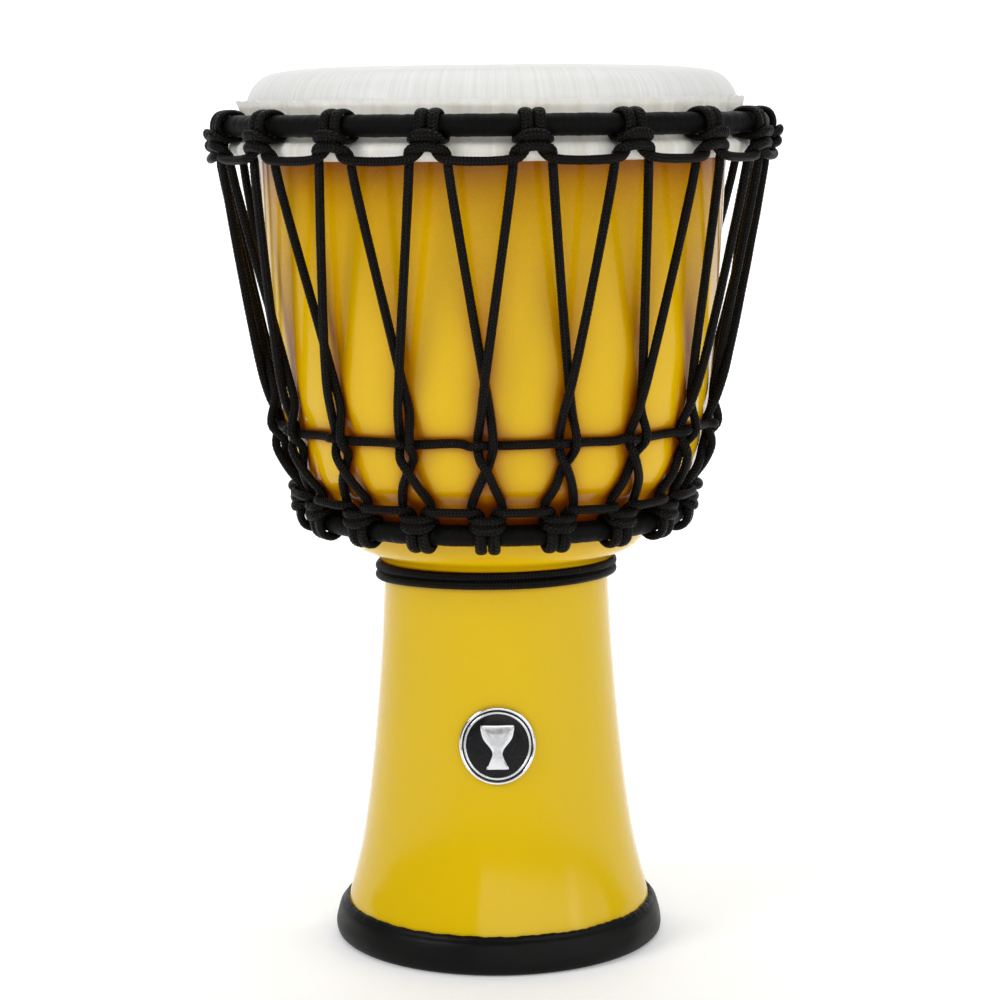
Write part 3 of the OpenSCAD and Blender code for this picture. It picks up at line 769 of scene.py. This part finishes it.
def make_sleeve(name, node, ring_r, ring_z, first_hitch, seed):
    """A cloth tube round the ring, squeezed a little under each hitch."""
    columns, rows = 1080, 32
    a = np.arange(rows) * 2 * math.pi / rows
    angle = np.arange(columns) * 360 / columns
    off = (angle - first_hitch + PITCH / 2) % PITCH - PITCH / 2
    aside = np.radians(np.abs(off)) * ring_r
    squeeze = -SQUEEZE * np.exp(-(aside / SQUEEZE_W) ** 2) + BULGE * (1 - np.exp(-(aside / BULGE_W) ** 2))
    lumps = wavy(angle, [(43, 0.035), (97, 0.03), (210, 0.02)], seed)
    crease = (wavy(angle, [(60, 0.05), (131, 0.04)], seed + 1)[None, :] * np.sin(3 * a + 0.7)[:, None]
              + wavy(angle, [(35, 0.04)], seed + 2)[None, :] * np.sin(2 * a)[:, None])
    tube = SLEEVE_R - 0.02 + (squeeze + lumps)[None, :] + crease
    r = ring_r + tube * np.cos(a)[:, None]
    z = ring_z + tube * np.sin(a)[:, None]
    t = np.radians(angle)[None, :]
    verts = np.stack([r * np.sin(t), -r * np.cos(t), z], -1)
    uv = grid_uv(np.radians(np.arange(columns + 1) * 360 / columns) * ring_r / THREAD,
                 np.arange(rows + 1) / rows * 2 * math.pi * SLEEVE_R / THREAD)
    piece = add_object(name, verts.reshape(-1, 3), grid_faces(rows, columns, True), SLEEVE_LOOK, uv)
    return stand_for(piece, "sleeve_fabric", node)


# ---- skin head -----------------------------------------------------------------------------
SKIN_MID = DRUM_H - SKIN_T / 2
SKIRT_R = 88.05
FLAP_R = 89.2
FLAP_TOP = 308.6
HEAD_PART, LOOP_PART, FLAP_PART = 0, 1, 2
CUTS = 34                                   # places round the drum where the cut edge changes height
FOLD_STEP = 0.28                            # how much the skin thickens along each fold
SKIN_WRAP_R = FLESH_CORE_R + SKIN_T / 2


def skin_path():
    """The skin's middle line from the head's centre to the flap's edge, and the part each row is in."""
    crown = [[r, SKIN_MID] for r in (0.02, 0.25, 12, 24, 36, 48, 58)]
    shoulder = smooth([[64, SKIN_MID - 0.15], [72, SKIN_MID - 0.75], [79.6, SKIN_MID - 2.0],
                       [84.2, SKIN_MID - 4.9], [86.9, SKIN_MID - 9], [SKIRT_R, SKIN_MID - 14],
                       [SKIRT_R, 298]], 4)
    turn = np.radians(np.arange(165, 471, 15))
    loop = np.stack([FLESH_R + SKIN_WRAP_R * np.cos(turn), FLESH_Z + SKIN_WRAP_R * np.sin(turn)], 1)
    flap = smooth([[FLAP_R + 1, 296.6], [FLAP_R + 0.15, 298.6], [FLAP_R, 303],
                   [FLAP_R + 0.6, FLAP_TOP]], 4)
    path = np.vstack([crown, shoulder, [[SKIRT_R + 0.3, 294.5]], loop, flap])
    loop_start = len(crown) + len(shoulder) + 1
    part = np.full(len(path), HEAD_PART)
    part[loop_start:] = LOOP_PART
    part[loop_start + len(loop):] = FLAP_PART
    return path, part


def skin_unevenness(angle):
    """Round the drum: pleats, the loop's folds, the flap's cut edge and how far it leans out."""
    off = (angle - HITCH_PHASE + PITCH / 2) % PITCH - PITCH / 2
    near_hitch = np.exp(-(np.radians(off) * CROWN_R / 5.0) ** 2)
    pleats = wavy(angle, [(70, 0.05), (133, 0.05), (211, 0.045), (290, 0.03)], 21)
    rng = np.random.default_rng(8)
    cuts = np.sort(rng.uniform(0, 360, CUTS))
    overlap = FOLD_STEP * (np.interp(angle, cuts, np.arange(CUTS), left=0, right=CUTS - 1) % 1)
    wrinkles = overlap + wavy(angle, [(57, 0.04), (118, 0.04), (190, 0.035)], 22)
    folds = wrinkles + 0.05 - 0.45 * near_hitch
    cut_height = rng.uniform(-0.6, 0.5, CUTS)
    edge = np.interp(angle, np.concatenate([[cuts[-1] - 360], cuts, [cuts[0] + 360]]),
                     np.concatenate([[cut_height[-1]], cut_height, [cut_height[0]]]))
    edge = edge + wavy(angle, [(47, 0.12), (160, 0.1)], 23)
    side = 0.5 - 0.5 * np.sin(np.radians(angle))
    lean = np.clip(0.2 + 0.8 * side + wavy(angle, [(7, 0.2), (19, 0.2), (41, 0.1)], 24), 0, 1.6)
    return pleats, folds, edge, lean * (1 - 0.8 * near_hitch)


def make_skin():
    """The skin head, one closed section that follows the middle line on both sides."""
    path, part = skin_path()
    outer, inner = beside(path, SKIN_T / 2), beside(path, -SKIN_T / 2)[::-2]
    row = np.concatenate([part, part[::-2]])[:, None]
    columns = 900
    pleats, folds, edge, lean = skin_unevenness(np.arange(columns) * 360 / columns)

    def shape(_angle, r, z):
        skirt = (row == HEAD_PART) * np.clip((SKIN_MID - 7 - z) / 8, 0, 1) * (r > 80)
        r = r + skirt * pleats
        loop, flap = row == LOOP_PART, row == FLAP_PART
        out_r, out_z = r - FLESH_R, z - FLESH_Z
        size = 1 + folds / SKIN_WRAP_R
        front = loop * np.clip(out_r / 2, 0, 1)
        r = np.where(loop, FLESH_R + out_r * (1 + (size - 1) * front), r)
        z = np.where(loop, FLESH_Z + out_z * (1 + (size - 1) * front), z)
        rise = flap * np.clip((z - 300) / (FLAP_TOP - 300), 0, 1)
        r = r + rise * (pleats * 1.5 + lean * rise * 1.6) + flap * pleats * 0.5
        z = z + rise * edge
        return r, z

    piece = revolved("coated_skin_head", np.vstack([outer, inner]), columns, SKIN_LOOK, shape)
    return stand_for(piece, "skin", "head_skin")


# ---- badge ---------------------------------------------------------------------------------
def on_stem(x, z, lift):
    """A point of the badge: across, up, and out from the stem's surface."""
    r = shell_radius(BADGE_Z + z) + lift
    a = x / r
    return np.stack([r * np.sin(a), -r * np.cos(a), BADGE_Z + z], -1)


def badge_disc(name, profile, material, slot, *nodes):
    """A round badge layer from its section, as [distance from the centre, lift]."""
    profile = np.array(profile, float)
    columns = 160
    a = np.arange(columns) * 2 * math.pi / columns
    d, lift = profile[:, :1], profile[:, 1:2]
    verts = on_stem(d * np.cos(a), d * np.sin(a), np.broadcast_to(lift, (len(profile), columns)))
    piece = add_object(name, verts.reshape(-1, 3), grid_faces(len(profile), columns), material)
    return stand_for(piece, slot, *nodes)


PLATE_TOP = 1.3                             # the plate's face above the stem
INLAY_R = 11.4


def make_badge():
    """Rim, line, plate, inlay, pad and emblem. Sections are [distance from the centre, lift]."""
    top = PLATE_TOP
    rim = smooth([[BADGE_R, 0.45], [BADGE_R, 1.0], [BADGE_R - 0.25, 1.55], [BADGE_R - 0.7, 1.72],
                  [BADGE_R - 1.1, 1.5], [BADGE_R - 1.25, top]], 4)
    badge_disc("badge_bright_rim", rim, BRIGHT_LOOK, "badge_bright", "badge_rim")
    line = [[BADGE_R - 1.25, 0.9], [BADGE_R - 1.25, top + 0.1], [BADGE_R - 1.5, top + 0.16],
            [BADGE_R - 1.8, top + 0.1], [BADGE_R - 1.8, 0.9]]
    badge_disc("badge_enamel_line", line, ENAMEL_LOOK, "badge_enamel", "badge_line")
    plate = [[BADGE_R - 0.3, 0.45], [BADGE_R - 0.3, 1.1], [BADGE_R - 1.75, top],
             [BADGE_R - 1.85, top + 0.15], [BADGE_R - 2.1, top + 0.26], [BADGE_R - 2.4, top + 0.24],
             [BADGE_R - 2.6, top + 0.1], [BADGE_R - 2.7, top - 0.1], [0.4, top - 0.1]]
    badge_disc("badge_plate_face", plate, SATIN_LOOK, "badge_metal", "badge_plate")
    inlay = [[INLAY_R, top - 0.15], [11.38, top + 0.02], [11.1, top + 0.1], [7, top + 0.15], [3, top + 0.17],
             [0.02, top + 0.18]]
    badge_disc("badge_enamel_inlay", inlay, ENAMEL_LOOK, "badge_enamel", "badge_inlay")
    pad = [[13.1, 0.03], [13.2, 0.2], [13.1, 0.45], [0.4, 0.45]]
    badge_disc("badge_foam_pad", pad, PAD_LOOK, "pad_foam", "badge_pad")
    make_emblem(top + 0.12)


# A plain goblet drum outline: half of it, from the top middle down.
GOBLET = [[0, 6.2], [4.4, 6.2], [5.0, 5.6], [4.9, 4.2], [4.2, 1.9], [2.0, -0.9], [1.5, -2.6], [1.9, -4.6],
          [3.3, -6.4], [3.0, -7.0], [0, -7.0]]
GOBLET_SCALE = 1.2


EMBLEM_TOP = 0.42                           # the emblem's face above its base


def make_emblem(base):
    """The raised drum outline, its sides drawn in towards a flat face."""
    half = np.array(GOBLET) * GOBLET_SCALE
    levels = [(0.0, 0.0), (0.0, 0.22), (0.16, 0.36), (0.45, 0.4)]       # (drawn in, lift)
    across = np.concatenate([half, half[::-1][1:-1] * [-1, 1]])
    dense = smooth_loop(across, 4)
    centre = np.array([0.0, 0.3])
    rows = []
    for inset, lift in levels:
        ahead, behind = np.roll(dense, -1, 0), np.roll(dense, 1, 0)
        v = unit(ahead - behind)
        inward = np.stack([v[:, 1], -v[:, 0]], 1)
        rows.append(on_stem(*(dense + inset * inward).T, base + lift))
    rows.append(on_stem(*(dense * 0.5 + centre * 0.5).T, base + EMBLEM_TOP))
    columns = len(dense)
    verts = np.vstack(rows + [on_stem(centre[0], centre[1], base + EMBLEM_TOP)[None]])
    faces = grid_faces(len(rows), columns)
    tip = len(verts) - 1
    faces += [[(len(rows) - 1) * columns + k, (len(rows) - 1) * columns + (k + 1) % columns, tip]
              for k in range(columns)]
    stand_for(add_object("badge_drum_emblem", verts, faces, BRIGHT_LOOK), "badge_bright", "badge_emblem")


# ---- light, floor and camera ---------------------------------------------------------------
def area_light(name, place, aim, size, power):
    """A rectangular light, in metres and watts."""
    data = bpy.data.lights.new(name, "AREA")
    data.shape = "RECTANGLE"
    data.size, data.size_y = size
    data.energy = power
    light = bpy.data.objects.new(name, data)
    light.location = place
    light.rotation_euler = (Vector(aim) - Vector(place)).to_track_quat("-Z", "Y").to_euler()
    bpy.context.collection.objects.link(light)


FLOOR_GLOW = 0.16                           # keeps the pale floor from greying away from the lights
SKY = 0.15
FLOOR_HALF = 2.6                            # half the floor's width, and its reach forwards
BACK_Y, BACK_H, BEND_R = 2.6, 2.8, 1.4      # the rising back of the floor
# Name, place, aim, size and watts of each light.
LIGHTS = [
    ("left_box", (-1.25, -0.85, 1.0), (0, 0, 0.2), (0.7, 0.7), 12),
    ("front_panel", (0.7, -1.5, 0.8), (0, 0, 0.2), (3.0, 1.2), 18),
    ("right_box", (1.5, -0.45, 0.7), (0, 0, 0.2), (1.1, 1.2), 5),
    ("top_box", (0, 0.1, 1.5), (0, 0, 0.2), (1.2, 1.2), 5),
    ("backdrop_box", (0, 0.75, 1.7), (0, 2.3, 0.3), (2.6, 0.5), 34),
]


def make_studio():
    """A pale floor that curves up behind the drum, a white sky and soft lights."""
    floor_look = Nodes("studio_floor")
    grain = floor_look.noise(floor_look.coords(), 3, 2)
    pale = floor_look.mix(grain, (0.94, 0.95, 0.96), (0.96, 0.97, 0.98))
    floor_look.set(Base_Color=pale, Roughness=0.7, Emission_Color=(1, 1, 1, 1),
                   Emission_Strength=FLOOR_GLOW)
    turn = np.radians(np.arange(0, 91, 3))
    bend = np.stack([BACK_Y - BEND_R + BEND_R * np.sin(turn), BEND_R - BEND_R * np.cos(turn)], 1)
    line = [[-FLOOR_HALF, 0], *bend, [BACK_Y, BACK_H]]
    verts = [[x / MM, y / MM, z / MM] for y, z in line for x in (-FLOOR_HALF, FLOOR_HALF)]
    faces = [[2 * k, 2 * k + 1, 2 * k + 3, 2 * k + 2] for k in range(len(line) - 1)]
    add_object("studio_floor", verts, faces, floor_look.material)
    world = bpy.data.worlds.new("studio")
    bpy.context.scene.world = world
    world.use_nodes = True
    sky = world.node_tree.nodes["Background"]
    sky.inputs[0].default_value = (1, 1, 1, 1)
    sky.inputs[1].default_value = SKY
    for light in LIGHTS:
        area_light(*light)


CAMERA_PLACE = (0.00165, -0.96, 0.3037)
CAMERA_PITCH, CAMERA_ROLL = math.radians(8.37), -0.0085
LENS, SENSOR = 94.75, 36


def make_camera():
    """A long lens level with the drum's head, looking slightly down."""
    data = bpy.data.cameras.new("camera")
    data.sensor_width = SENSOR
    data.lens = LENS
    data.clip_start, data.clip_end = 0.05, 50
    camera = bpy.data.objects.new("camera", data)
    camera.matrix_world = (Matrix.Translation(CAMERA_PLACE)
                           @ Matrix.Rotation(math.pi / 2 - CAMERA_PITCH, 4, "X")
                           @ Matrix.Rotation(CAMERA_ROLL, 4, "Z"))
    bpy.context.collection.objects.link(camera)
    bpy.context.scene.camera = camera


make_camera()
make_shell()
make_foot()
make_skin()
make_sleeve("crown_sleeve", "crown_ring_sleeve", CROWN_R, CROWN_Z, crown_angle(0), 31)
make_sleeve("lower_sleeve", "lower_ring_sleeve", LOWER_R, LOWER_Z, lower_angle(0), 37)
make_ropes()
make_badge()
for ring in ("flesh_ring", "crown_ring", "lower_ring"):
    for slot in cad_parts[ring].material_slots:
        slot.material = STEEL_LOOK
make_studio()
bpy.context.scene.view_settings.view_transform = "Standard"
